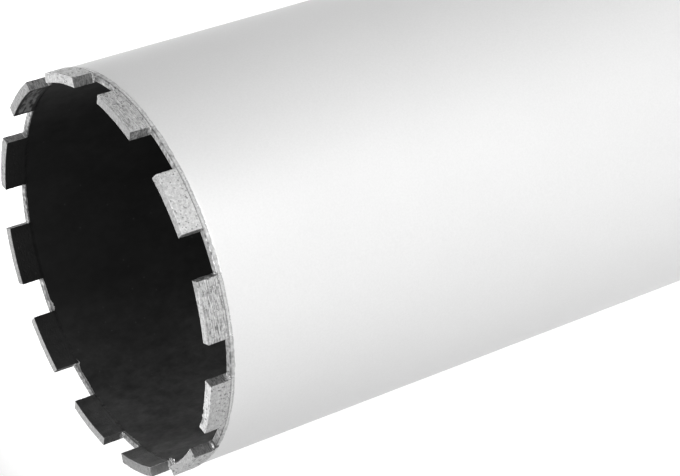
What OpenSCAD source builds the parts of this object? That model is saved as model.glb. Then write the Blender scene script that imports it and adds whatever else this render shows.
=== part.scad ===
// Diamond core bit: a thin steel barrel with a crown of brazed diamond segments at its open end
// and a plate with a threaded hub at its closed end. It stands on the hub, with the crown on top.
// Millimetres, +Z up, origin at the centre of the hub's mounting face.

/* [Crown] */
// Diameter across the outer faces of the segments, which is the diameter of the drilled hole
bit_diameter = 152.4; // [132.4:1:202.4]
// Number of diamond segments around the rim
segment_count = 12; // [9:1:13]
// Length of a segment, measured along its outer face
segment_length = 22.8; // [18:0.2:26]
// Thickness of a segment, from its inner to its outer face
segment_thickness = 3.8; // [3.4:0.1:5]
// Height of a segment above the braze
segment_height = 8; // [4:0.5:12]
// Bevel along the edges of the cutting face
segment_bevel = 0.3; // [0.1:0.05:0.8]
// How far the segments stand out past the barrel, to give the barrel room in the hole
side_clearance = 0.5; // [0.2:0.05:0.8]

/* [Braze] */
// Thickness of the braze between the rim and a segment
braze_gap = 0.25; // [0.1:0.05:0.5]
// Width of the band below the rim where braze and steel are ground bright
ground_band = 2; // [1:0.1:4]
// How far the braze runs down inside the barrel
inner_skirt = 0.8; // [0.4:0.1:2]
// Leg of the braze fillet at each end of a segment
braze_fillet = 1.1; // [0.6:0.1:1.8]

/* [Barrel] */
// Length of the barrel, from its welded end to its rim
barrel_length = 450; // [250:5:600]
// Wall thickness of the barrel
wall = 2.8; // [2:0.1:3]
// Broken edge on the inside of the rim
rim_break = 0.2; // [0.1:0.05:0.4]
// Broken edges on the outside of both ends
end_break = 0.1; // [0.05:0.05:0.3]

/* [Back plate] */
// Thickness of the plate that closes the barrel
plate_thickness = 6; // [4:0.5:10]
// Gap between the plate and the barrel's wall
plate_fit = 0.1; // [0.05:0.05:0.3]
// Depth of the groove for the weld around the plate
rear_weld_depth = 3; // [2:0.5:3.5]
// How far the cap of that weld bulges out of the groove
rear_weld_cap = 0.9; // [0.5:0.1:2]

/* [Hub] */
// Outer diameter of the hub
hub_diameter = 46; // [42:0.5:60]
// Length of the hub below the plate
hub_length = 30; // [28:1:50]
// Diameter of the spigot that passes through the plate
spigot_diameter = 36; // [34:0.5:40]
// Gap between the spigot and the plate
spigot_fit = 0.1; // [0.05:0.05:0.3]
// Minor diameter of the internal thread, 1 1/4 inch with 7 turns per inch
thread_bore = 28.2; // [27.8:0.1:28.4]
// Diameter of the countersink at the mouth of the thread
mouth_diameter = 32.8; // [32:0.2:36]
// Distance across the two wrench flats
flats_across = 41; // [38:0.5:41.5]
// Height of the wrench flats along the hub
flats_height = 14; // [8:1:16]
// Distance from the mounting face to the wrench flats
flats_start = 7; // [3:1:8]
// Bevel on the edge of the mounting face
hub_bevel = 1; // [0.5:0.1:2]
// Bevel at the inner end of the spigot and of its bore
spigot_bevel = 0.8; // [0.4:0.1:1.2]
// Leg of the fillet weld between the hub and the plate
hub_weld_leg = 4; // [3:0.5:5]
// How far the face of that weld bulges
hub_weld_crown = 0.6; // [0.3:0.1:1]

/* [Hidden] */
// Roundness of the preview
$fn = 96;
// Steps along each short arc in an outline
arc_steps = 8;
// How far a cutter reaches past what it cuts
cut = 1;
// How far a fillet of braze reaches under its segment
fillet_lap = 0.5;
// Angle left for trimming at each end of an arc that gets parallel ends, in degrees
trim_angle = 3;

// Radii of the crown, the barrel and the hub
crown_r = bit_diameter / 2;
crown_inner_r = crown_r - segment_thickness;
barrel_r = crown_r - side_clearance;
bore_r = barrel_r - wall;
plate_r = bore_r - plate_fit;
hub_r = hub_diameter / 2;
spigot_r = spigot_diameter / 2;
thread_r = thread_bore / 2;
mouth_r = mouth_diameter / 2;

// Heights of the plate, the rim and the segments
plate_z = hub_length;
plate_top_z = plate_z + plate_thickness;
rim_z = plate_z + barrel_length;
root_z = rim_z + braze_gap;
crown_z = root_z + segment_height;

// Half of the angle that the outer face of a segment spans, and half of the way between its ends,
// which are parallel to each other
half_span = segment_length / crown_r * 90 / PI;
half_width = crown_r * sin(half_span);
// The segments are set by hand, so each sits a little off its even place, in degrees
placing_error = [0, 0.5, 1, 2, 0.5, 0.5, -1.5, 0, -0.5, -1, -1.5, -0.5];

// Place of a segment around the rim
function segment_angle(i) =
    (i - 1) * 360 / segment_count + placing_error[(i - 1) % len(placing_error)];

// Name of a repeated piece, with a number of two figures
function numbered(name, i) = str(name, i < 10 ? "_0" : "_", i);

// Points on a shallow arc from a to b that bulges to its right by rise, both ends included
function bulge(a, b, rise) =
    let (
        chord = norm(b - a),
        along = (b - a) / chord,
        outward = [along[1], -along[0]],
        radius = (chord * chord / 4 + rise * rise) / (2 * rise),
        half = asin(chord / 2 / radius),
        centre = (a + b) / 2 - outward * (radius - rise)
    )
    [
        for (k = [0:arc_steps])
            let (turn = half * (2 * k / arc_steps - 1))
            centre + radius * (outward * cos(turn) + along * sin(turn))
    ];

// The barrel is one rolled and welded tube with a plain rim
module barrel() {
    color("silver")
        rotate_extrude()
            polygon([
                [bore_r, plate_z],
                [barrel_r - end_break, plate_z],
                [barrel_r, plate_z + end_break],
                [barrel_r, rim_z - end_break],
                [barrel_r - end_break, rim_z],
                [bore_r + rim_break, rim_z],
                [bore_r, rim_z - rim_break]
            ]);
}

// The plate fills the end of the barrel, with a groove around it for the weld
module back_plate() {
    color("silver")
        rotate_extrude()
            polygon([
                [spigot_r + spigot_fit, plate_z],
                [plate_r - rear_weld_depth, plate_z],
                [plate_r, plate_z + rear_weld_depth],
                [plate_r, plate_top_z],
                [spigot_r + spigot_fit, plate_top_z]
            ]);
}

// The hub is turned with a spigot, bored for the thread and milled with two wrench flats
module hub() {
    mouth_depth = mouth_r - thread_r;
    color("gray")
        difference() {
            rotate_extrude()
                polygon([
                    [mouth_r, 0],
                    [hub_r - hub_bevel, 0],
                    [hub_r, hub_bevel],
                    [hub_r, plate_z],
                    [spigot_r, plate_z],
                    [spigot_r, plate_top_z - spigot_bevel],
                    [spigot_r - spigot_bevel, plate_top_z],
                    [thread_r + spigot_bevel, plate_top_z],
                    [thread_r, plate_top_z - spigot_bevel],
                    [thread_r, mouth_depth]
                ]);
            for (side = [0, 180])
                rotate([0, 0, side])
                    translate([flats_across / 2, -hub_r, flats_start])
                        cube([hub_r, 2 * hub_r, flats_height]);
        }
}

// Weld in the groove around the plate, capped over the end of the barrel
module rear_weld() {
    groove_r = plate_r - rear_weld_depth;
    toe_in = groove_r - rear_weld_cap / 2;
    toe_out = bore_r + wall / 2;
    color("silver")
        rotate_extrude()
            polygon(concat(
                bulge([toe_in, plate_z], [toe_out, plate_z], rear_weld_cap),
                [
                    [bore_r, plate_z],
                    [bore_r, plate_z + rear_weld_depth],
                    [plate_r, plate_z + rear_weld_depth],
                    [groove_r, plate_z]
                ]
            ));
}

// Fillet weld that holds the hub under the plate
module hub_weld() {
    color("silver")
        rotate_extrude()
            polygon(concat(
                bulge([hub_r, plate_z - hub_weld_leg], [hub_r + hub_weld_leg, plate_z], hub_weld_crown),
                [[hub_r, plate_z]]
            ));
}

// Outline of a segment, with bevels along both edges of the cutting face
module segment_outline() {
    polygon([
        [crown_inner_r, root_z],
        [crown_r, root_z],
        [crown_r, crown_z - segment_bevel],
        [crown_r - segment_bevel, crown_z],
        [crown_inner_r + segment_bevel, crown_z],
        [crown_inner_r, crown_z - segment_bevel]
    ]);
}

// Cutter that bevels the cutting face at the end of a segment on the -Y side
module end_bevel() {
    translate([0, -half_width, 0])
        rotate([90, 0, 90])
            linear_extrude(height = crown_r + cut)
                polygon([
                    [-cut, crown_z - segment_bevel - cut],
                    [segment_bevel + cut, crown_z + cut],
                    [-cut, crown_z + cut]
                ]);
}

// Block that an arc of the crown is trimmed to, with the ends of the segment as two of its sides
module between_ends() {
    translate([0, -half_width, 0])
        cube([crown_r + cut, 2 * half_width, crown_z + cut]);
}

// One diamond segment, curved with the rim
module segment(i) {
    color("darkgray")
        rotate([0, 0, segment_angle(i)])
            difference() {
                intersection() {
                    rotate([0, 0, -half_span - trim_angle])
                        rotate_extrude(angle = 2 * (half_span + trim_angle))
                            segment_outline();
                    between_ends();
                }
                end_bevel();
                mirror([0, 1, 0]) end_bevel();
            }
}

// Outline of the braze under a segment: it fills the joint and laps both faces of the wall
module braze_outline() {
    polygon([
        [crown_inner_r, root_z],
        [bore_r, rim_z - inner_skirt],
        [bore_r, rim_z - rim_break],
        [bore_r + rim_break, rim_z],
        [barrel_r - end_break, rim_z],
        [barrel_r, rim_z - end_break],
        [barrel_r, rim_z - ground_band],
        [crown_r, root_z]
    ]);
}

// Hollow-faced fillet on the rim, against the end of a segment on the -Y side
module end_fillet() {
    intersection() {
        translate([0, -half_width, rim_z])
            rotate([90, 0, 90])
                linear_extrude(height = crown_r + cut)
                    polygon(concat(
                        [[0, braze_gap], [fillet_lap, braze_gap], [fillet_lap, 0]],
                        [
                            for (k = [0:arc_steps])
                                let (turn = 90 * k / arc_steps)
                                braze_fillet * [sin(turn) - 1, 1 - cos(turn)]
                        ]
                    ));
        rotate_extrude()
            translate([bore_r + rim_break, rim_z])
                square([wall - rim_break - end_break, braze_fillet]);
    }
}

// Braze that holds one segment, with a fillet at each end
module braze(i) {
    color("gainsboro")
        rotate([0, 0, segment_angle(i)]) {
            intersection() {
                rotate([0, 0, -half_span - trim_angle])
                    rotate_extrude(angle = 2 * (half_span + trim_angle))
                        braze_outline();
                between_ends();
            }
            end_fillet();
            mirror([0, 1, 0]) end_fillet();
        }
}

barrel();
back_plate();
hub();
rear_weld();
hub_weld();
for (i = [1:segment_count]) {
    segment(i);
    braze(i);
}
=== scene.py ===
import math
from types import SimpleNamespace

import bpy
import numpy as np
from mathutils import Matrix, Vector, noise


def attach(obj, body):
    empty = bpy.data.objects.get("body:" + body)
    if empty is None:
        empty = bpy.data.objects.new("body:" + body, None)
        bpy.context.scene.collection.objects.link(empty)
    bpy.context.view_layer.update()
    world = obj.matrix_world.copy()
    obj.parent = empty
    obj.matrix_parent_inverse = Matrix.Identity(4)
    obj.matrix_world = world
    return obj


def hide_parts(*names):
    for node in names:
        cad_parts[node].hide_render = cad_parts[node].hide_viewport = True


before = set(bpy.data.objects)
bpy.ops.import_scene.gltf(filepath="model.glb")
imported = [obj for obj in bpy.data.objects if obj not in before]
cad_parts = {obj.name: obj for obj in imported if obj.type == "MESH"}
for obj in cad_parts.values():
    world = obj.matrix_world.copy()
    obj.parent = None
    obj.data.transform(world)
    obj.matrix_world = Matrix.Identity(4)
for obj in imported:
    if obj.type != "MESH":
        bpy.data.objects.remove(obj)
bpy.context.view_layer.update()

# Sizes are in millimetres and angles in degrees, unless a line says otherwise
MM = 0.001

# The photograph's view, with its width and its focal length in pixels
PHOTO_WIDTH, SENSOR_WIDTH = 680, 36
FOCAL_PIXELS = 2410.5
CAMERA_PLACE = (224.645, -768.772, 838.28)
CAMERA_HEADING, CAMERA_TILT, CAMERA_ROLL = 17.32, 60.695, -108.805

# Studio: the sky's light on the object, and the floor's glow and half width in metres
SKY_LEVEL, FLOOR_LIFT, FLOOR_HALF = 0.1, 0.26, 6.0
# Softboxes: the point that they face, then place, width and height of each in metres, and power in watts
SOFTBOX_TARGET = (0, 0, 0.3)
SOFTBOXES = {"key_softbox": ((0, -1, 1.7), 0.8, 0.8, 36.6),
             "side_softbox": ((0.75, -1.3, 0.7), 0.8, 1.3, 4.4),
             "back_softbox": ((0, 1.5, 0.5), 0.8, 0.9, 10.5)}

# Finishes that a point can have: amounts of bare metal, black paint and dull or rough skin
LACQUER, BARE, BLACK = (0, 0, 0), (1, 0, 0), (0, 1, 0)
DULL, EDGE = (1, 0, 0.5), (1, 0, 0.75)
# How the lacquer and the black paint look all over
LACQUER_METALLIC, PAINT_ROUGHNESS, PAINT_GLOSS = 0.55, 0.55, 0.2

# Barrel: the bevels at its ends, and the band at its rim that is ground bare, outside and inside
END_BREAK, RIM_BREAK = 0.1, 0.2
BAND_WIDTH, BAND_WOBBLE, BAND_DEPTH = 1.7, 0.3, 0.05
INNER_BAND, INNER_WOBBLE = 0.6, 0.25
# Dents and stains on that band, and the side where it is darker
DENT_DEPTH, DENT_SIZE = 0.07, 1.3
STAINS, STAIN_SIZE = 0.55, 1.5
SIDE_DARKENING, DARKER_AZIMUTH = 0.15, 95
# Places where it reaches further down inside and is smeared with lacquer: azimuth, width and depth
INNER_SMEARS = [(165, 6, 0.8), (129, 2.5, 1.0), (136, 5, 0.4), (110, 2, 1.0), (105, 5, 0.3), (36, 2, 0.5)]
SMEARED = 0.9
# Painted shade around each drop of braze, in radii of the drop: where it is full, and where it ends
DROP_SHADE_FULL, DROP_SHADE_END = 1.15, 1.45

# Black paint inside, as brightness: its own grey all over, and painted light spread over one side of
# the bit, at the wall on that side and at the wall on the other side, with the powers by which the
# painted light fades towards the axis
LIT_SIDE_AZIMUTH, LIT_SIDE_RADIUS = 195, 73
PAINT_GREY, PAINTED_LIGHT_SPREAD, PAINTED_LIGHT_NEAR_WALL, PAINTED_LIGHT_FAR_WALL = 0.0045, 0.052, 0.38, 0.04
SPREAD_FADE, WALL_FADE = 1.5, 12.0

# Segments: the braze under them, their worn edges and uneven skin, and the cells of their mesh
ROOT_GAP = 0.25
WEAR_RADIUS, WEAR_SPREAD, WEAR_RIPPLE, WEAR_LEAST, WEAR_MOST = 0.25, 0.22, 0.12, 0.08, 0.6
UNEVEN_DEPTH = 0.06
CELLS_OUT, CELLS_ALONG, CELLS_UP = 18, 110, 40
# How near to a face a point counts as on it, and width of the outer edge of the cutting face
ON_FACE, TOP_EDGE_WIDTH = 0.02, 0.35
# Pits, with their shares on the outer face, the cutting face, both ends and the inner face
PIT_COUNT, PIT_SMALL, PIT_LARGE, PIT_DEPTH = 34, 0.18, 0.38, 0.18
PIT_SHARES = [0.62, 0.2, 0.12, 0.06]
DRAWN_SHARE = 0.6

# How a segment usually looks
USUAL_LOOK = {
    "pits": 1.0,  # share of the usual number of pits
    "coarse": 1.0,  # size of the pits
    "drawn": 1.0,  # how far most of the pits are drawn out along the segment
    "streaks": 0.3,  # how streaked the skin is
    "top_dullness": 0.42,  # how dull the cutting face is, from 0 to 1
    "edge_dullness": 0.0,  # the same for its outer edge
    "outer_dullness": 0.0,  # the same for the outer face
    "polish": 0.0,  # how much brighter the cutting face is rubbed
    "ends": (0.08, 0.08),  # low and high end: share that shines, or amount of black paint where below 0
    "fillets": (0.5, 0.6),  # low and high end: size of the fillet of braze
    "worn_paint": 0.0,  # how much of the black paint has worn off the inner face
    "chips": [],  # place along, out and up from 0 to 1, radius and depth of each
}
# How each segment looks where it is unlike the rest, by its number
OWN_LOOKS = {
    1: dict(pits=3.4, coarse=1.4, streaks=0.05, top_dullness=0.25, polish=0.3, ends=(-0.2, -0.2),
            worn_paint=0.6),
    2: dict(pits=2.4, coarse=1.3, top_dullness=0.68, polish=0.2, fillets=(0.5, 0.7), worn_paint=0.56),
    3: dict(top_dullness=0.6),
    4: dict(top_dullness=0.6, fillets=(0.6, 0.6)),
    5: dict(ends=(0.2, -0.8), fillets=(0.5, 1.1)),
    6: dict(ends=(0.2, -0.9), fillets=(0.6, 1.2)),
    7: dict(top_dullness=0.7, ends=(0.2, -0.8), fillets=(1.0, 0.6), chips=[((0.9, 1.0, 1.0), 1.0, 0.3)]),
    8: dict(pits=2.2, coarse=1.5, drawn=2.0, streaks=0.5, top_dullness=0.35, ends=(0.08, -0.55),
            fillets=(0.8, 0.5)),
    9: dict(pits=1.6, coarse=1.45, streaks=0.1, top_dullness=0.0, outer_dullness=0.2, polish=0.8,
            fillets=(0.9, 1.3), chips=[((0.18, 0.0, 1.0), 2.2, 0.7), ((0.36, 0.0, 1.0), 1.5, 0.4)]),
    10: dict(pits=1.4, drawn=3.5, streaks=0.9, top_dullness=0.15, edge_dullness=0.55, outer_dullness=0.06,
             polish=0.4, ends=(0.2, 0.6), fillets=(0.5, 0.8),
             chips=[((0.93, 0.35, 1.0), 3.2, 0.22), ((0.8, 0.3, 1.0), 2.6, 0.1),
                    ((1.0, 0.8, 0.45), 1.1, 0.4)]),
    11: dict(pits=2.2, streaks=0.05, outer_dullness=0.05, fillets=(0.4, 0.5)),
    12: dict(pits=1.3, drawn=2.2, streaks=0.7, top_dullness=0.58, ends=(0.5, 0.2), fillets=(1.0, 1.0)),
}
LOOKS = {number: SimpleNamespace(**(USUAL_LOOK | own)) for number, own in OWN_LOOKS.items()}

# Braze: how far it runs down inside, its fillets at full size, and how far fillets and drops sink in
SKIRT, FILLET_LENGTH, FILLET_HEIGHT, SINK = 1.5, 1.0, 0.8, 0.02
# Drops of it: segment, end, distance from it, place across the wall with 0 at its inner face and 1 at its
# outer face, and radius
DROPS = [(8, 1, 0.55, 0.6, 1.7), (9, 1, 1.3, 0.5, 0.6), (7, 1, 1.3, -0.2, 0.9), (7, 1, 2.7, -0.22, 1.0),
         (7, 1, 0.7, 0.4, 0.6), (7, 1, 2.0, 0.15, 0.8), (7, 1, 3.6, 0.1, 0.8), (7, 1, 3.9, -0.25, 0.6),
         (6, 1, 0.7, 0.2, 0.7), (5, 1, 0.8, 0.3, 0.6), (12, 1, 0.7, 0.7, 0.5), (12, 1, 0.3, 0.95, 0.55),
         (9, 1, 0.5, 0.8, 0.5), (1, -1, 0.8, 0.6, 0.55)]
DROP_SQUATNESS = 0.55

# Hub and welds
FLATS_HALF, FLATS_LOW, FLATS_TOP = 20.5, 7, 21
MOUTH_RADIUS, THREAD_MINOR, THREAD_MAJOR, THREAD_PITCH = 16.4, 14.1, 15.875, 25.4 / 7
# Bevel past the thread at its inner end, and where its crest ends and its root starts in half a turn
THREAD_BEVEL, THREAD_CREST, THREAD_ROOT = 0.2, 0.25, 0.875
SPIGOT_RADIUS, HUB_BEVEL, SPIGOT_BEVEL = 18, 1, 0.8
HUB_WELD_LEG, HUB_WELD_RISE, REAR_WELD_DEPTH, REAR_WELD_RISE = 4, 0.6, 3, 0.9
RIPPLE_PITCH, RIPPLE_DEPTH = 1.7, 0.22

# Columns of the meshes around the axis, and of a braze strip from end to end
BARREL_COLUMNS, HUB_COLUMNS, HUB_WELD_COLUMNS, REAR_WELD_COLUMNS = 1200, 192, 420, 900
STRIP_COLUMNS = 90
# Rows across the face of a weld, and of the thread in one turn
WELD_ROWS, THREAD_ROWS = 16, 14


def measure(node):
    """Radii, heights, place around the axis and half of the width of a CAD node."""
    points = np.array([v.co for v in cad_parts[node].data.vertices]) / MM
    radius = np.hypot(points[:, 0], points[:, 1])
    rough_middle = math.atan2(points[:, 1].mean(), points[:, 0].mean())
    turn = np.arctan2(points[:, 1], points[:, 0]) - rough_middle
    turn = (turn + math.pi) % (2 * math.pi) - math.pi
    turn_middle = (turn.max() + turn.min()) / 2
    return SimpleNamespace(
        inner=radius.min(), outer=radius.max(), low=points[:, 2].min(), top=points[:, 2].max(),
        middle=rough_middle + turn_middle, half=(radius * np.sin(turn - turn_middle)).max())


BARREL = measure("barrel")
HUB = measure("hub")
PLATE = measure("back_plate")
SEGMENTS = sorted(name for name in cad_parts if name.startswith("segment_"))


# Mesh helpers

def wobble(x, y=0.0, z=0.0, octaves=3):
    """Smooth noise between about -1 and 1 at a point, the same in each run."""
    return noise.fractal(Vector((x, y, z)), 1.0, 2.0, octaves)


def ring_noise(angles, turns, seed):
    """Noise that closes around a circle, for an array of angles in radians."""
    return np.array([wobble(math.cos(a) * turns, math.sin(a) * turns, seed) for a in angles])


def patches(points, size, seed):
    """Noise in patches of a size in millimetres, for an array of points."""
    flat = points.reshape(-1, 3) / size
    return np.array([wobble(x, y, z + 10 * seed) for x, y, z in flat]).reshape(points.shape[:-1])


def smooth_step(low, high, x):
    t = np.clip((x - low) / (high - low), 0, 1)
    return t * t * (3 - 2 * t)


def cylindrical(radius, angle, z):
    """Points from arrays of radius, angle in radians and height."""
    radius, angle, z = np.broadcast_arrays(radius, angle, z)
    return np.stack([radius * np.cos(angle), radius * np.sin(angle), z], axis=-1)


def add_mesh(name, points, faces, finish, sharp_angle=35, skin=None):
    """A mesh object from points in millimetres, with each point's finish as a colour attribute.
    The skin is each point's place on the piece itself, along, out and up, for textures that follow it."""
    mesh = bpy.data.meshes.new(name)
    mesh.from_pydata((points.reshape(-1, 3) * MM).tolist(), [], faces)
    colours = np.ones((len(mesh.vertices), 4), np.float32)
    colours[:, :3] = finish.reshape(-1, 3)
    mesh.attributes.new("finish", "FLOAT_COLOR", "POINT").data.foreach_set("color", colours.ravel())
    if skin is not None:
        places = skin.astype(np.float32).ravel()
        mesh.attributes.new("skin", "FLOAT_VECTOR", "POINT").data.foreach_set("vector", places)
    mesh.shade_smooth()
    mesh.set_sharp_from_angle(angle=math.radians(sharp_angle))
    piece = bpy.data.objects.new(name, mesh)
    bpy.context.scene.collection.objects.link(piece)
    return piece


def grid_faces(rows, columns, wrap_rows, wrap_columns):
    """Quads over a grid of points that are numbered row by row."""
    i, j = np.meshgrid(np.arange(rows if wrap_rows else rows - 1),
                       np.arange(columns if wrap_columns else columns - 1), indexing="ij")
    k, m = (i + 1) % rows, (j + 1) % columns
    quads = np.stack([i * columns + j, i * columns + m, k * columns + m, k * columns + j], axis=-1)
    return quads.reshape(-1, 4).tolist()


def lathe(name, outline, finishes, angles, warp=None):
    """A closed outline of (radius, height) points turned about the axis, each point with its finish.
    The warp returns new radii and heights, and may change the finish in place."""
    outline = np.array(outline, float)
    radius, angle = np.meshgrid(outline[:, 0], angles, indexing="ij")
    height = np.meshgrid(outline[:, 1], angles, indexing="ij")[0]
    finish = np.repeat(np.array(finishes, float)[:, None, :], len(angles), axis=1)
    if warp:
        radius, height = warp(radius, angle, height, finish)
    return add_mesh(name, cylindrical(radius, angle, height), grid_faces(*radius.shape, True, True), finish)


def circle(columns):
    return np.linspace(0, 2 * math.pi, columns, endpoint=False)


def lattice_shell(counts):
    """Places from 0 to 1 on the skin of a box lattice, and its outward quads. Axes: out, around, up."""
    number = {}
    quads = []

    def point(place):
        return number.setdefault(tuple(place), len(number))

    for axis in range(3):
        first, second = (axis + 1) % 3, (axis + 2) % 3
        for end in (0, counts[axis]):
            for a in range(counts[first]):
                for b in range(counts[second]):
                    corners = [(a, b), (a + 1, b), (a + 1, b + 1), (a, b + 1)]
                    loop = []
                    for u, v in corners if end else corners[::-1]:
                        place = [0, 0, 0]
                        place[axis], place[first], place[second] = end, u, v
                        loop.append(point(place))
                    quads.append(loop)
    return np.array(list(number)) / np.array(counts), quads


def crowded(t):
    """Moves places between 0 and 1 a little towards both ends, for a finer mesh at the edges."""
    return 0.75 * t + 0.25 * (0.5 - 0.5 * np.cos(math.pi * t))


# Materials

class Graph:
    """Short calls that add the nodes of one material, or of a world, in front of its shader."""

    def __init__(self, owner, shader="Principled BSDF"):
        owner.use_nodes = True
        self.owner = owner
        self.tree = owner.node_tree
        self.shader = self.tree.nodes[shader]

    def add(self, kind, inputs=(), **settings):
        made = self.tree.nodes.new("ShaderNode" + kind)
        for key, value in settings.items():
            setattr(made, key, value)
        for key, value in dict(inputs).items():
            self.put(made, key, value)
        return made

    def put(self, target, key, value):
        """Sets a socket to a value, or links it to another node's socket."""
        if isinstance(value, bpy.types.NodeSocket):
            self.tree.links.new(value, target.inputs[key])
        else:
            target.inputs[key].default_value = value

    def set(self, **values):
        """Sets the shader's sockets, with _ for a space in a name."""
        for key, value in values.items():
            self.put(self.shader, key.replace("_", " "), value)
        return self.owner

    def place(self, scale=(1, 1, 1)):
        """The place on the object in millimetres, stretched by a scale for each axis."""
        where = self.add("TexCoord").outputs["Object"]
        return self.add("Mapping", {"Vector": where, "Scale": [k / MM for k in scale]}).outputs["Vector"]

    def skin(self, scale=(1, 1, 1)):
        """The place on the piece itself, along, out and up, stretched by a scale for each."""
        where = self.add("Attribute", attribute_name="skin").outputs["Vector"]
        return self.add("Mapping", {"Vector": where, "Scale": scale}).outputs["Vector"]

    def arcs(self, along, across):
        """A place that changes slowly along an arc about the axis, and fast across it."""
        where = self.place()
        flat = self.add("VectorMath", {0: where, 1: (1, 1, 0)}, operation="MULTIPLY").outputs["Vector"]
        radius = self.add("VectorMath", {0: flat}, operation="LENGTH").outputs["Value"]
        height = self.add("SeparateXYZ", {"Vector": where}).outputs["Z"]
        section = self.add("CombineXYZ", {"X": radius, "Y": self.math("MULTIPLY", radius, 0.6), "Z": height})
        slow = self.add("VectorMath", {0: flat, 1: (along, along, 0)}, operation="MULTIPLY").outputs["Vector"]
        return self.add("VectorMath", {0: section.outputs["Vector"], 1: (across, across, across), 2: slow},
                        operation="MULTIPLY_ADD").outputs["Vector"]

    def noise(self, scale, where, detail=3.0, roughness=0.5):
        made = self.add("TexNoise", {"Vector": where, "Scale": scale, "Detail": detail,
                                     "Roughness": roughness})
        return made.outputs["Fac"]

    def spots(self, scale, where, size, share):
        """Round spots of a size between 0 and 1 in a share of the cells, 1 at their middles."""
        made = self.add("TexVoronoi", {"Vector": where, "Scale": scale})
        chosen = self.add("SeparateColor", {"Color": made.outputs["Color"]}).outputs["Red"]
        return self.math("MULTIPLY", self.range(made.outputs["Distance"], size, size * 0.4),
                         self.math("LESS_THAN", chosen, share))

    def range(self, value, low, high, to_low=0.0, to_high=1.0):
        made = self.add("MapRange", {"Value": value, "From Min": low, "From Max": high,
                                     "To Min": to_low, "To Max": to_high})
        return made.outputs["Result"]

    def spread(self, texture, low, high):
        """Spreads noise, nearly all of which lies between 0.3 and 0.7, from low to high."""
        return self.range(texture, 0.3, 0.7, low, high)

    def math(self, operation, first, second=0.0):
        return self.add("Math", {0: first, 1: second}, operation=operation).outputs[0]

    def mix(self, amount, first, second):
        """Mixes two numbers."""
        return self.add("Mix", {"Factor": amount, "A": first, "B": second}, data_type="FLOAT").outputs[0]

    def grey(self, value):
        """A neutral colour from a number."""
        return self.add("CombineColor", {"Red": value, "Green": value, "Blue": value}).outputs["Color"]

    def bump(self, height, strength, distance):
        """A normal that follows a height, whose distance is in millimetres."""
        made = self.add("Bump", {"Height": height, "Strength": strength, "Distance": distance * MM})
        return made.outputs["Normal"]

    def finish(self):
        """The amounts of bare metal, black paint and dull or rough skin at a point."""
        colour = self.add("Attribute", attribute_name="finish").outputs["Color"]
        return self.add("SeparateColor", {"Color": colour}).outputs

    def seen(self):
        """1 where the camera, a reflection or a view through glass meets a surface."""
        paths = self.add("LightPath").outputs
        seen = self.math("MAXIMUM", paths["Is Camera Ray"], paths["Is Glossy Ray"])
        return self.math("MAXIMUM", seen, paths["Is Transmission Ray"])

    def black_paint(self):
        """Grey of the black paint inside, with painted light that is strong on one side of the bit, and
        painted glints in specks.
        """
        azimuth = math.radians(LIT_SIDE_AZIMUTH)
        lit_side = (math.cos(azimuth) / LIT_SIDE_RADIUS, math.sin(azimuth) / LIT_SIDE_RADIUS, 0)
        towards_it = self.add("VectorMath", {0: self.place(), 1: lit_side}, operation="DOT_PRODUCT")
        side = towards_it.outputs["Value"]
        near = self.math("MAXIMUM", side, 0.0)
        far = self.math("MAXIMUM", self.math("MULTIPLY", side, -1.0), 0.0)
        # Painted light, strongest on one side and at the walls, stands in for light that falls in through the
        # mouth
        paint_and_light = self.math("MULTIPLY", self.math("POWER", near, SPREAD_FADE), PAINTED_LIGHT_SPREAD)
        for nearness, amount in ((near, PAINTED_LIGHT_NEAR_WALL), (far, PAINTED_LIGHT_FAR_WALL)):
            at_wall = self.math("MULTIPLY", self.math("POWER", nearness, WALL_FADE), amount)
            paint_and_light = self.math("ADD", paint_and_light, at_wall)
        paint_and_light = self.math("ADD", paint_and_light, PAINT_GREY)
        smudges = self.range(self.noise(0.045, self.place((1, 1, 0.6)), 5, 0.65), 0.35, 0.7, 0.65, 1.3)
        blots = self.spread(self.noise(0.3, self.place((1, 1, 0.7)), 4, 0.7), 0.7, 1.3)
        painted_light = self.math("MULTIPLY", self.math("MULTIPLY", paint_and_light, smudges), blots)
        # Painted glints in specks
        specks = self.math("MULTIPLY", self.spots(0.35, self.place(), 0.16, 0.25), 0.012)
        return self.math("ADD", painted_light, specks)


def barrel_material():
    """Silver lacquer outside, a ground band at the rim and black paint inside."""
    g = Graph(bpy.data.materials.new("barrel_lacquer"))
    bare, black, dull = g.finish()
    flakes = g.noise(1.5, g.place(), 2)
    clouds = g.noise(0.014, g.place(), 4)
    scratches = g.noise(1, g.arcs(0.12, 2.6), 4, 0.65)
    blotches = g.noise(0.9, g.place(), 4, 0.6)

    lacquer_grey = g.math("ADD", g.spread(flakes, 0.66, 0.69), g.spread(clouds, -0.01, 0.01))
    bare_grey = g.math("ADD", g.range(scratches, 0.32, 0.68, 0.38, 0.58), g.spread(blotches, -0.14, 0.14))
    bare_grey = g.math("MULTIPLY", bare_grey, g.range(dull, 0, 1, 1.0, 0.22))
    grey = g.mix(black, g.mix(bare, lacquer_grey, bare_grey), g.black_paint())
    metallic = g.mix(black, g.mix(bare, LACQUER_METALLIC, 0.9), 0.0)
    bare_roughness = g.mix(g.range(dull, 0.55, 0.85), g.spread(scratches, 0.42, 0.56), 0.75)
    roughness = g.mix(black, g.mix(bare, g.spread(flakes, 0.38, 0.42), bare_roughness), PAINT_ROUGHNESS)
    relief = g.math("ADD", g.math("MULTIPLY", flakes, 0.04), g.math("MULTIPLY", scratches, bare))
    return g.set(Base_Color=g.grey(grey), Metallic=metallic, Roughness=roughness,
                 Specular_IOR_Level=PAINT_GLOSS, Normal=g.bump(relief, 0.35, 0.06))


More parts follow.
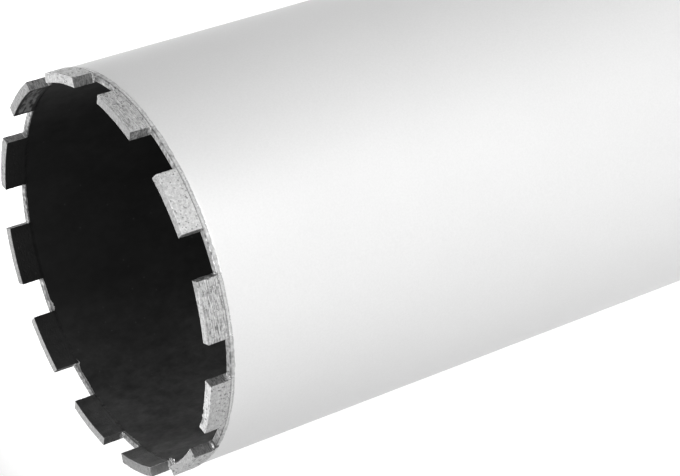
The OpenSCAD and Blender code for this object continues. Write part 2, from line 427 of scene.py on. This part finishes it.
def segment_material():
    """Ground sinter with pits, rough ends and black paint on the inside."""
    g = Graph(bpy.data.materials.new("diamond_segment"))
    streaked, black, rough = g.finish()
    grain = g.noise(1.6, g.skin(), 5, 0.7)
    mottle = g.noise(0.75, g.skin(), 4, 0.7)
    streaks = g.noise(1, g.skin((0.3, 4.8, 4.8)), 3, 0.6)
    crowds = g.range(g.noise(0.35, g.skin(), 2), 0.44, 0.56, 0.15, 1.0)
    pits = g.math("MULTIPLY", g.spots(1.15, g.skin((0.8, 1, 1)), 0.32, 0.36), crowds)
    radial = g.noise(1, g.skin((2.6, 0.45, 2.6)), 4, 0.65)

    ground_grey = g.math("ADD", g.spread(grain, 0.38, 0.62), g.spread(mottle, -0.13, 0.13))
    lines = g.math("MULTIPLY", streaked, g.range(streaks, 0.6, 0.36, 0.06, -0.34))
    ground_grey = g.mix(pits, g.math("ADD", ground_grey, lines), 0.16)
    rough_grey = g.math("ADD", g.range(radial, 0.36, 0.72, 0.03, 0.22), g.range(mottle, 0.4, 0.7, 0.0, 0.06))
    # Black paint with its painted light, at a fifth of its brightness where the skin is rough, as on painted
    # ends
    paint = g.math("MULTIPLY", g.black_paint(), g.range(rough, 0, 1, 1.0, 0.2))
    grey = g.mix(black, g.mix(rough, ground_grey, rough_grey), paint)
    metallic = g.mix(black, g.mix(rough, 0.8, 0.3), 0.0)
    roughness = g.mix(black, g.spread(grain, 0.4, 0.56), PAINT_ROUGHNESS)
    ridges = g.math("MULTIPLY", g.mix(rough, streaks, radial), 0.7)
    relief = g.math("ADD", g.math("SUBTRACT", grain, pits), ridges)
    return g.set(Base_Color=g.grey(grey), Metallic=metallic, Roughness=roughness,
                 Specular_IOR_Level=PAINT_GLOSS, Normal=g.bump(relief, 0.7, 0.12))


def braze_material():
    """Bright solder with scratches like the band's, darker and duller where its finish says so, as grime in
    places and painted shade at the feet of drops, and black paint with painted light.
    """
    g = Graph(bpy.data.materials.new("braze_silver"))
    _, black, dull = g.finish()
    flow = g.noise(1.3, g.place(), 4, 0.6)
    scratches = g.noise(1, g.arcs(0.12, 2.6), 4, 0.65)

    bright = g.math("ADD", g.spread(flow, 0.36, 0.64), g.range(scratches, 0.32, 0.68, -0.08, 0.08))
    bright = g.math("MULTIPLY", bright, g.range(dull, 0, 1, 1.0, 0.15))
    bright = g.mix(g.spots(1.3, g.place(), 0.3, 0.22), bright, 0.9)
    # On black paint the third amount scales its brightness: the skirt's painted light lifts it up to 2.6
    # times
    paint = g.math("MULTIPLY", g.black_paint(), g.range(dull, 0, 1, 1.0, 2.6))
    roughness = g.mix(black, g.mix(dull, g.spread(flow, 0.22, 0.45), 0.6), PAINT_ROUGHNESS)
    return g.set(Base_Color=g.grey(g.mix(black, bright, paint)), Metallic=g.mix(black, 0.95, 0.0),
                 Roughness=roughness, Specular_IOR_Level=PAINT_GLOSS,
                 Normal=g.bump(g.math("ADD", flow, scratches), 0.6, 0.12))


def hub_material():
    """Turned steel with fine rings from the tool and oily stains."""
    g = Graph(bpy.data.materials.new("turned_steel"))
    rings = g.noise(1, g.arcs(0.06, 3.6), 5, 0.6)
    stains = g.noise(0.06, g.place(), 4, 0.6)
    grey = g.math("ADD", g.spread(rings, 0.36, 0.56), g.range(stains, 0.4, 0.75, 0.0, -0.14))
    return g.set(Base_Color=g.grey(grey), Metallic=1.0, Roughness=g.spread(stains, 0.28, 0.42),
                 Normal=g.bump(rings, 0.3, 0.05))


def weld_material():
    """Silver lacquer over a weld bead, with grime in its ripples."""
    g = Graph(bpy.data.materials.new("weld_lacquer"))
    flakes = g.noise(1.5, g.place(), 2)
    darkening = g.noise(0.18, g.place(), 4, 0.6)
    grey = g.math("ADD", g.spread(flakes, 0.64, 0.7), g.range(darkening, 0.5, 0.8, 0.0, -0.25))
    return g.set(Base_Color=g.grey(grey), Metallic=LACQUER_METALLIC, Roughness=g.spread(darkening, 0.36, 0.5),
                 Normal=g.bump(darkening, 0.3, 0.2))


def plate_material():
    """Silver lacquer below and black paint above, inside the barrel."""
    g = Graph(bpy.data.materials.new("plate_lacquer"))
    height = g.add("SeparateXYZ", {"Vector": g.place()}).outputs["Z"]
    inside = g.range(height, PLATE.top - 0.6, PLATE.top - 0.3)
    flakes = g.noise(1.5, g.place(), 2)
    rings = g.noise(1, g.arcs(0.03, 1.2), 4, 0.6)
    lacquer_grey = g.math("ADD", g.spread(flakes, 0.65, 0.69), g.spread(rings, -0.02, 0.02))
    return g.set(Base_Color=g.grey(g.mix(inside, lacquer_grey, g.black_paint())),
                 Metallic=g.mix(inside, LACQUER_METALLIC, 0.0), Specular_IOR_Level=PAINT_GLOSS,
                 Roughness=g.mix(inside, g.spread(flakes, 0.38, 0.42), PAINT_ROUGHNESS),
                 Normal=g.bump(rings, 0.15, 0.08))


# Pieces

def fit(piece, slot, material, *nodes):
    """Gives a finished piece its material and its body, and hides the nodes that it stands for; the slot is
    not used.
    """
    piece.data.materials.append(material)
    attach(piece, "root")
    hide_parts(*nodes)


def drop_place(number, end, distance, across):
    """Middle of a drop of braze on the rim, beside one end of a segment."""
    radius = BARREL.inner + (BARREL.outer - BARREL.inner) * across
    box = measure(SEGMENTS[number - 1])
    angle = box.middle + end * math.asin((box.half + distance) / radius)
    return cylindrical(radius, angle, BARREL.top - SINK)


def barrel_rows():
    """The tube's section with its finishes: up the outside, over the rim and down the inside."""
    outer, inner, low, rim = BARREL.outer, BARREL.inner, BARREL.low, BARREL.top
    band, inner_band, ground = rim - BAND_WIDTH, rim - INNER_BAND, outer - BAND_DEPTH
    wall_rows = np.linspace(low + 0.3, rim - 9, 6)
    rows = [(inner + END_BREAK, low, BLACK), (outer - END_BREAK, low, LACQUER),
            (outer, low + END_BREAK, LACQUER)]
    rows += [(outer, z, LACQUER) for z in wall_rows]
    rows += [(outer, band - 1, LACQUER), (outer, band - 0.06, LACQUER), (outer - 0.01, band - 0.03, LACQUER),
             (ground, band + 0.03, BARE), (ground, band + 0.14, BARE), (ground, rim - 0.9, BARE),
             (ground, rim - 0.55, BARE), (ground, rim - RIM_BREAK, EDGE), (ground - RIM_BREAK, rim, EDGE)]
    rows += [(radius, rim, DULL) for radius in np.linspace(ground - 0.45, inner + RIM_BREAK, 7)]
    rows += [(inner, rim - RIM_BREAK, EDGE), (inner, inner_band + 0.06, EDGE),
             (inner, inner_band - 0.06, BLACK)]
    rows += [(inner, z, BLACK) for z in wall_rows[::-1]]
    return rows + [(inner, low + END_BREAK, BLACK)]


def make_barrel(material):
    """The tube, with the lacquer ground away in an uneven band at its rim."""
    columns = circle(BARREL_COLUMNS)
    outer, inner, rim = BARREL.outer, BARREL.inner, BARREL.top
    band, inner_band = rim - BAND_WIDTH, rim - INNER_BAND
    band_edge = BAND_WOBBLE * (ring_noise(columns, 9, 3) + 0.6 * ring_noise(columns, 40, 5))
    inner_edge = INNER_WOBBLE * (ring_noise(columns, 12, 7) + 0.6 * ring_noise(columns, 60, 9))
    smear = np.zeros_like(columns)
    for azimuth, width, depth in INNER_SMEARS:
        away = (columns - math.radians(azimuth)) * inner / width
        here = np.exp(-away ** 2)
        smear += here
        inner_edge -= depth * here * (1 + 0.6 * ring_noise(columns, 90, azimuth))
    drops = [(drop_place(*place), radius) for *place, radius in DROPS]
    darkening = smooth_step(0.0, 0.4, ring_noise(columns, 14, 11))

    def warp(radius, angle, height, finish):
        outside = radius > (outer + inner) / 2
        near_band = outside & (np.abs(height - band) < 0.2)
        near_inner = ~outside & (np.abs(height - inner_band) < 0.1)
        # A darker, duller line just above the edge of the lacquer
        lip = near_band & (height > band) & (height < band + 0.1)
        finish[..., 2] = np.where(lip, 0.25 + 0.75 * darkening, finish[..., 2])

        worn = height > band + 0.02
        places = cylindrical(radius, angle, height)[worn]
        unpainted = finish[worn, 1] == 0
        side_darkening = SIDE_DARKENING * np.maximum(np.cos(angle[worn] - math.radians(DARKER_AZIMUTH)), 0)
        finish[worn, 2] += (STAINS * patches(places, STAIN_SIZE, 1) + side_darkening) * unpainted
        smeared = near_inner & (height > inner_band)
        finish[smeared, 0] -= SMEARED * np.minimum(smear, 1)
        finish[smeared, 2] -= SMEARED * smear
        # Painted shade in a ring around each drop of braze, on the bare metal near it
        for place, reach in drops:
            gap = np.linalg.norm(places - place, axis=-1)
            drop_shade = smooth_step(DROP_SHADE_END * reach, DROP_SHADE_FULL * reach, gap) * unpainted
            finish[worn, 2] = np.maximum(finish[worn, 2], drop_shade)
        np.clip(finish, 0, 1, out=finish)

        on_rim = (height > rim - 0.01)[worn]
        dents = DENT_DEPTH * np.abs(patches(places, DENT_SIZE, 3))
        radius[worn] -= dents * (~on_rim & outside[worn])
        height = height + near_band * band_edge + near_inner * inner_edge
        height[worn] -= dents * on_rim
        return radius, height

    rows = barrel_rows()
    outline, finishes = [row[:2] for row in rows], [row[2] for row in rows]
    piece = lathe("barrel_tube", outline, finishes, columns, warp)
    fit(piece, "lacquer", material, "barrel")


def worn_round(base, size, shifted):
    """Moves points on a block's skin in to where its edges are worn round, and gives the way out there."""
    wear = np.array([WEAR_RADIUS + WEAR_SPREAD * wobble(*(p * 0.35), octaves=2)
                     + WEAR_RIPPLE * wobble(*(p * 1.4), octaves=2) for p in shifted])
    wear = np.clip(wear, WEAR_LEAST, WEAR_MOST)[:, None]
    low, high = np.zeros(3) + wear, size - wear
    low[:, 2] = -1
    core = np.clip(base, low, high)
    away = base - core
    reach = np.maximum(np.linalg.norm(away, axis=1, keepdims=True), 1e-6)
    outward = away / reach
    return np.where(reach > 1e-5, core + outward * np.minimum(wear, reach), base), outward


def segment_surfaces(base, size, shifted, look):
    """Finish of points on a segment: ground faces, a dull top, rough or shiny ends and a black inside."""
    thick, long, high = size
    out, along, up = base.T
    finish = np.zeros_like(base)
    finish[:, 0] = look.streaks
    finish[out > thick - ON_FACE, 2] = look.outer_dullness
    on_top = up > high - ON_FACE
    finish[on_top, 2] = look.top_dullness
    finish[on_top, 0] = -look.polish
    top_edge = (out > thick - TOP_EDGE_WIDTH) & (up > high - TOP_EDGE_WIDTH)
    finish[top_edge, 2] = np.maximum(finish[top_edge, 2], look.edge_dullness)

    on_end = (along < ON_FACE) | (along > long - ON_FACE)
    at_high = (along > long / 2).astype(int)
    shine = np.array(look.ends)[at_high]
    climb = np.array(look.fillets)[at_high] * (1 + 0.8 * patches(shifted, 1.2, 4))
    shining = np.clip(shine, 0, 1) * smooth_step(-0.05, 0.35, patches(shifted, 1.8, 5))
    shining = np.maximum(shining, smooth_step(climb, 0.5 * climb, up))
    finish[on_end, 2] = 1 - shining[on_end]
    finish[on_end, 1] = np.clip(-shine[on_end], 0, 1)

    on_inside = out < ON_FACE
    finish[on_inside] = BLACK
    if look.worn_paint:
        rub = smooth_step(-0.35, 0.4, patches(shifted * (1, 0.35, 1), 1.5, 6))
        margin = np.minimum(np.minimum(along, long - along), np.minimum(up, high - up - 0.4))
        rub *= smooth_step(0.7, 1.4, margin) * on_inside * look.worn_paint
        finish[:, 1] -= rub
        finish[:, 2] += 0.8 * rub
    return finish


def scatter_pits(rng, size, look):
    """Middles, radii and stretch of pits on the skin of a block that is thick, long and high as size says."""
    count = int(PIT_COUNT * look.pits)
    middles = rng.random((count, 3)) * size
    middles[:, 1] = rng.beta(0.8, 0.8, count) * size[1]
    face = rng.choice(4, count, p=PIT_SHARES)
    middles[face == 0, 0] = size[0]
    middles[face == 1, 2] = size[2]
    middles[face == 2, 1] = np.where(middles[face == 2, 1] > size[1] / 2, size[1], 0)
    middles[face == 3, 0] = 0
    stretch = np.where(rng.random(count) < DRAWN_SHARE, look.drawn, 1.0)
    return middles, rng.uniform(PIT_SMALL, PIT_LARGE, count) * look.coarse, stretch


def pit_amount(base, middles, radii, stretch):
    """How deep each point lies in the nearest pit, from 0 to 1."""
    step = base[:, None, :] - middles[None, :, :]
    step[:, :, 1] /= stretch[None, :]
    return smooth_step(1.0, 0.35, np.linalg.norm(step, axis=2) / radii[None, :]).max(axis=1)


def break_chips(chips, base, size, uneven, skin, finish):
    """Breaks chips out of the skin and bares the rough metal in them, both in place."""
    for (along, out, up), radius, depth in chips:
        middle = np.array([out, along, up]) * size
        inward = size / 2 - middle
        gap = np.linalg.norm(base - middle, axis=1)
        bite = smooth_step(radius, radius * 0.45, gap + 0.35 * radius * (uneven - 0.3)) * depth
        skin += bite[:, None] * inward / np.linalg.norm(inward)
        finish[:, 2] = np.maximum(finish[:, 2], 0.6 * smooth_step(0, 0.2, bite))
        finish[:, 1] *= 1 - smooth_step(0.05, 0.2, bite)


def make_segment(name, material):
    """One segment with worn edges, chips, pits and a slightly uneven skin."""
    number = int(name[-2:])
    look = LOOKS[number]
    rng = np.random.default_rng(number)
    box = measure(name)
    size = np.array([box.outer - box.inner, 2 * box.half, box.top - BARREL.top - ROOT_GAP])
    places, quads = lattice_shell((CELLS_OUT, CELLS_ALONG, CELLS_UP))
    base = crowded(places) * size
    # Each segment lies elsewhere in the noise
    shifted = base + np.array([0, 0, 40.0 * number])
    skin, outward = worn_round(base, size, shifted)
    finish = segment_surfaces(base, size, shifted, look)

    uneven = np.array([abs(wobble(*(p * 0.9), octaves=3)) for p in shifted])
    pit = pit_amount(base, *scatter_pits(rng, size, look))
    finish[:, 2] = np.maximum(finish[:, 2], pit * (finish[:, 1] < 0.5))
    depth = UNEVEN_DEPTH * uneven + PIT_DEPTH * pit
    skin = skin - outward * depth[:, None]
    break_chips(look.chips, base, size, uneven, skin, finish)

    radius = box.inner + skin[:, 0]
    angle = box.middle + np.arcsin((skin[:, 1] - box.half) / radius)
    points = cylindrical(radius, angle, BARREL.top + ROOT_GAP + skin[:, 2])
    along_out_up = np.stack([base[:, 1] + 60 * number, base[:, 0], base[:, 2]], axis=1)
    piece = add_mesh(name + "_worn", points, quads, finish, 50, along_out_up)
    fit(piece, "diamond_metal", material, name)


def bare_braze(darkening):
    """Finish of bare braze, darker and duller by an amount at each point."""
    finish = np.repeat(np.array([BARE], float), len(darkening), axis=0)
    finish[:, 2] = np.clip(darkening, 0, 1)
    return finish


def braze_strip(box, number):
    """Points, finish and faces of the strip that fills the joint and laps both walls."""
    rim, outer, inner = BARREL.top, BARREL.outer, BARREL.inner
    root, ground = rim + ROOT_GAP, outer - BAND_DEPTH
    columns = np.linspace(-box.half, box.half, STRIP_COLUMNS)
    toe = np.array([wobble(y * 0.8, number) + 0.5 * wobble(y * 2.6, number) for y in columns])
    skirt = SKIRT * (1 + 0.4 * toe)
    band = (BAND_WIDTH + 0.1) * (1 + 0.12 * toe)
    lap, hang = band + ROOT_GAP, skirt + ROOT_GAP
    # Painted light on the black skirt, to cancel the shade on its overhang; none under segments whose inner
    # paint has worn off
    painted_light = 0 if LOOKS[number].worn_paint else 4
    rows = [(inner, rim - skirt, BLACK), (inner, rim - RIM_BREAK, BARE), (inner + RIM_BREAK, rim, BARE),
            (ground - RIM_BREAK, rim, BARE), (ground, rim - RIM_BREAK, BARE), (ground, rim - band, BARE)]
    rows += [(ground + (box.outer - 0.03 - ground) * t, root - lap * (1 - t), (1, 0, darkening))
             for t, darkening in ((0.2, 0.3), (0.4, 0), (0.6, 0), (0.8, 0.3), (0.95, 0.8))]
    rows += [(box.outer - 0.12, root, EDGE), (box.inner + 0.01, root, BLACK)]
    rows += [(inner + (box.inner - inner) * t * t * (3 - 2 * t), root - hang * (1 - t),
              (0, 1, painted_light * t * (1 - t))) for t in (0.9, 0.75, 0.6, 0.4, 0.2)]
    radius = np.array([row[0] + 0 * columns for row in rows])
    height = np.array([row[1] + 0 * columns for row in rows])
    lapping = (radius > outer) & (radius < box.outer - 0.04)
    lumps = patches(cylindrical(radius, box.middle + columns / radius, height), 1.0, 7)
    radius = np.where(lapping, np.minimum(radius + 0.14 * lumps, box.outer), radius)
    points = cylindrical(radius, box.middle + np.arcsin(columns / radius), height).reshape(-1, 3)
    finish = np.repeat(np.array([row[2] for row in rows], float), len(columns), axis=0)

    faces = [quad[::-1] for quad in grid_faces(len(rows), len(columns), True, False)]
    starts = [i * len(columns) for i in range(len(rows))]
    faces += [starts, [start + len(columns) - 1 for start in reversed(starts)]]
    return points, finish, faces


def end_fillet(box, number, end, share):
    """Points, finish and faces of a hollow fillet of braze on the rim, against one end of a segment."""
    places, quads = lattice_shell((10, 14, 5))
    out, around, up = places.T
    hollow = 1 - np.sqrt(np.clip(1 - (1 - around) ** 2, 0, 1))
    lump = np.array([1 + 0.5 * wobble(p[0] * 2.5, p[1] * 2.5, number * 2 + end) for p in places])
    rounding = np.sqrt(np.clip(1 - (2 * out - 1) ** 6, 0, 1)) * 0.6 + 0.4
    top = np.maximum(hollow * FILLET_HEIGHT * share * lump * rounding, 0.02)
    low_r = BARREL.inner + 0.12 - 0.25 * hollow * share
    high_r = BARREL.outer - 0.2 + 0.2 * hollow * share
    radius = low_r + (high_r - low_r) * out
    run = around * FILLET_LENGTH * share * (1 + 0.4 * lump * (1 - up)) - 0.3
    angle = box.middle + end * np.arcsin((box.half + run) / radius)
    points = cylindrical(radius, angle, BARREL.top - SINK + up * top)
    finish = bare_braze(0.2 + 0.5 * smooth_step(0.6, 1.0, around) + 0.8 * patches(points, 0.9, 9))
    return points, finish, quads if end > 0 else [quad[::-1] for quad in quads]


def blob(middle, radius, seed):
    """A low lumpy drop on the rim: points, and faces that count from 0."""
    rings, sides = 7, 14
    tall = radius * DROP_SQUATNESS
    points = [middle + np.array([0, 0, tall])]
    for i in range(1, rings + 1):
        tilt = math.pi / 2 * i / rings
        for j in range(sides):
            turn = 2 * math.pi * j / sides
            lump = radius * (1 + 0.4 * wobble(1.5 * math.cos(turn), 1.5 * math.sin(turn) + tilt, seed))
            out = lump * math.sin(tilt)
            up = lump * DROP_SQUATNESS * math.cos(tilt)
            points.append(middle + np.array([out * math.cos(turn), out * math.sin(turn), up]))
    faces = [[0, 1 + j, 1 + (j + 1) % sides] for j in range(sides)]
    for i in range(rings - 1):
        for j in range(sides):
            here, there = 1 + i * sides, 1 + (i + 1) * sides
            faces.append([here + j, there + j, there + (j + 1) % sides, here + (j + 1) % sides])
    faces.append([1 + (rings - 1) * sides + j for j in reversed(range(sides))])
    return np.array(points), faces


def braze_drop(number, end, distance, across, radius):
    """Points, finish and faces of a drop of braze, with painted shade around its foot."""
    points, faces = blob(drop_place(number, end, distance, across), radius, number + distance)
    shaded_foot = smooth_step(0.35, 0.0, (points[:, 2] - BARREL.top) / radius)
    finish = bare_braze(0.2 + 0.28 * radius + 0.8 * patches(points, 0.8, 8) + 0.5 * shaded_foot)
    return points, finish, faces


def join(shells):
    """Points, finish and faces of several closed shells as those of one mesh."""
    all_faces = []
    count = 0
    for points, _, faces in shells:
        all_faces += [[count + k for k in face] for face in faces]
        count += len(points)
    return (np.concatenate([shell[0] for shell in shells]), np.concatenate([shell[1] for shell in shells]),
            all_faces)


def make_braze(name, material):
    """The braze under one segment: a strip that laps both walls, a hollow fillet at each end, and drops."""
    number = int(name[-2:])
    node = name.replace("segment", "braze")
    box = measure(name)
    shells = [braze_strip(box, number)]
    shells += [end_fillet(box, number, end, share) for end, share in zip((-1, 1), LOOKS[number].fillets)]
    shells += [braze_drop(*drop) for drop in DROPS if drop[0] == number]
    points, finish, faces = join(shells)
    fit(add_mesh(node + "_bead", points, faces, finish, 60), "braze", material, node)


def ripple(angle, radius, across):
    """Height of the curved ripples of a weld bead, from 0 to 1; across runs from 0 to 1 over the bead."""
    lag = 1.6 * (2 * across - 1) ** 2
    drift = 0.25 * np.sin(angle * 11) + 0.2 * np.sin(angle * 23 + 1)
    turn = (angle * radius / RIPPLE_PITCH + lag + drift) % 1.0
    return np.abs(turn - 0.5) * 2


def bulge(start, end, rise, steps):
    """Points of a shallow arc from start to end that bulges to its right by rise."""
    start, end = np.array(start, float), np.array(end, float)
    chord = np.linalg.norm(end - start)
    along = (end - start) / chord
    outward = np.array([along[1], -along[0]])
    radius = (chord ** 2 / 4 + rise ** 2) / (2 * rise)
    half = math.asin(chord / 2 / radius)
    centre = (start + end) / 2 - outward * (radius - rise)
    turns = np.linspace(-half, half, steps)
    return [tuple(centre + radius * (outward * math.cos(t) + along * math.sin(t))) for t in turns]


def make_weld(piece_name, node, face, back, columns, material):
    """A turned bead whose outer face carries the ripples of the weld pool."""
    across = np.array([i / (len(face) - 1) for i in range(len(face))] + [0] * len(back))
    weight = np.array([math.sin(math.pi * i / (len(face) - 1)) for i in range(len(face))] + [0] * len(back))
    middle = np.array(face).mean(axis=0)
    outline = np.array(face + back)
    inward = np.array(back).mean(axis=0) - middle
    inward = inward / np.linalg.norm(inward)

    def warp(radius, angle, height, finish):
        depth = RIPPLE_DEPTH * weight[:, None] * ripple(angle, middle[0], across[:, None])
        return radius + inward[0] * depth, height + inward[1] * depth

    piece = lathe(piece_name, outline, [LACQUER] * len(outline), circle(columns), warp)
    fit(piece, "lacquer", material, node)


def make_welds(material):
    """The fillet weld under the plate and the weld in the groove around it."""
    plate = PLATE.low
    start, end = (HUB.outer, plate - HUB_WELD_LEG), (HUB.outer + HUB_WELD_LEG, plate)
    face = bulge(start, end, HUB_WELD_RISE, WELD_ROWS)
    make_weld("hub_weld_bead", "hub_weld", face, [(HUB.outer, plate)], HUB_WELD_COLUMNS, material)
    groove = PLATE.outer - REAR_WELD_DEPTH
    start, end = (groove - REAR_WELD_RISE / 2, plate), ((BARREL.inner + BARREL.outer) / 2, plate)
    face = bulge(start, end, REAR_WELD_RISE, WELD_ROWS)
    back = [(BARREL.inner, plate), (BARREL.inner, plate + REAR_WELD_DEPTH),
            (PLATE.outer, plate + REAR_WELD_DEPTH), (groove, plate)]
    make_weld("rear_weld_bead", "rear_weld", face, back, REAR_WELD_COLUMNS, material)


def make_hub(material):
    """The turned hub with its two wrench flats and a right-hand thread."""
    flat_edge = math.acos(FLATS_HALF / HUB.outer)
    corners = [side + sign * flat_edge for side in (0, math.pi) for sign in (-1, 1)]
    corners = np.array(corners) % (2 * math.pi)
    columns = np.array(sorted(set(np.concatenate([circle(HUB_COLUMNS), corners]))))
    step = 0.01
    top, plate = HUB.top, PLATE.low
    outer_rows = [HUB_BEVEL, FLATS_LOW - step, FLATS_LOW + step, FLATS_TOP - step, FLATS_TOP + step, plate]
    outline = [(MOUTH_RADIUS, 0), (HUB.outer - HUB_BEVEL, 0)] + [(HUB.outer, z) for z in outer_rows]
    outline += [(SPIGOT_RADIUS, plate), (SPIGOT_RADIUS, top - SPIGOT_BEVEL),
                (SPIGOT_RADIUS - SPIGOT_BEVEL, top), (THREAD_MAJOR + THREAD_BEVEL, top)]
    outline += [(THREAD_MINOR, z) for z in np.arange(top - 0.05, 0.05, -THREAD_PITCH / THREAD_ROWS)]

    def warp(radius, angle, height, finish):
        flat = (radius > HUB.outer - step) & (height > FLATS_LOW) & (height < FLATS_TOP)
        cut = FLATS_HALF / np.maximum(np.abs(np.cos(angle)), 1e-3)
        radius = np.where(flat, np.minimum(radius, cut), radius)
        turn = (height / THREAD_PITCH - angle / (2 * math.pi)) % 1.0
        flank = np.clip((np.abs(2 * turn - 1) - THREAD_CREST) / (THREAD_ROOT - THREAD_CREST), 0, 1)
        depth = flank * (THREAD_MAJOR - THREAD_MINOR)
        lead_in = np.maximum(MOUTH_RADIUS - height, THREAD_MAJOR + THREAD_BEVEL - (top - height))
        bore = np.maximum(THREAD_MINOR + depth, lead_in)
        return np.where(radius == THREAD_MINOR, bore, radius), height

    piece = lathe("hub_turned", outline, [BARE] * len(outline), columns, warp)
    fit(piece, "hub_steel", material, "hub")


# Stage

def make_floor():
    """A plain pale floor that reads as white to the camera and in reflections, and keeps the shadow."""
    mesh = bpy.data.meshes.new("floor")
    corners = [(x * FLOOR_HALF, y * FLOOR_HALF, 0) for x, y in ((-1, -1), (1, -1), (1, 1), (-1, 1))]
    mesh.from_pydata(corners, [], [(0, 1, 2, 3)])
    floor = bpy.data.objects.new("floor", mesh)
    bpy.context.scene.collection.objects.link(floor)
    g = Graph(bpy.data.materials.new("floor_paper"))
    paper = g.set(Base_Color=(0.9, 0.9, 0.9, 1), Roughness=0.9, Emission_Color=(1, 1, 1, 1),
                  Emission_Strength=g.math("MULTIPLY", g.seen(), FLOOR_LIFT))
    mesh.materials.append(paper)


def make_world():
    """An even studio sky, white behind the object."""
    world = bpy.data.worlds.new("studio")
    bpy.context.scene.world = world
    g = Graph(world, "Background")
    g.set(Color=(1, 1, 1, 1), Strength=g.range(g.seen(), 0, 1, SKY_LEVEL, 1.0))


def add_softbox(name, place, width, height, watts):
    """A rectangular lamp at place, in metres, that faces the object."""
    data = bpy.data.lights.new(name, "AREA")
    data.shape = "RECTANGLE"
    data.size, data.size_y = width, height
    data.energy = watts
    lamp = bpy.data.objects.new(name, data)
    lamp.visible_camera = False
    lamp.location = place
    lamp.rotation_euler = (Vector(SOFTBOX_TARGET) - Vector(place)).to_track_quat("-Z", "Y").to_euler()
    bpy.context.scene.collection.objects.link(lamp)


def add_camera():
    data = bpy.data.cameras.new("photo_camera")
    data.sensor_width = SENSOR_WIDTH
    data.lens = FOCAL_PIXELS / PHOTO_WIDTH * SENSOR_WIDTH
    camera = bpy.data.objects.new("photo_camera", data)
    turn = (Matrix.Rotation(math.radians(CAMERA_HEADING), 3, "Z")
            @ Matrix.Rotation(math.radians(CAMERA_TILT), 3, "X")
            @ Matrix.Rotation(math.radians(CAMERA_ROLL), 3, "Z"))
    camera.rotation_euler = turn.to_euler()
    camera.location = Vector(CAMERA_PLACE) * MM
    bpy.context.scene.collection.objects.link(camera)
    bpy.context.scene.camera = camera


add_camera()
make_world()
make_floor()
for softbox, values in SOFTBOXES.items():
    add_softbox(softbox, *values)

make_barrel(barrel_material())
make_hub(hub_material())
make_welds(weld_material())
segment_finish, braze_finish = segment_material(), braze_material()
for segment in SEGMENTS:
    make_segment(segment, segment_finish)
    make_braze(segment, braze_finish)

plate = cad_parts["back_plate"]
plate.data.materials.clear()
plate.data.materials.append(plate_material())

bpy.context.scene.view_settings.view_transform = "Standard"
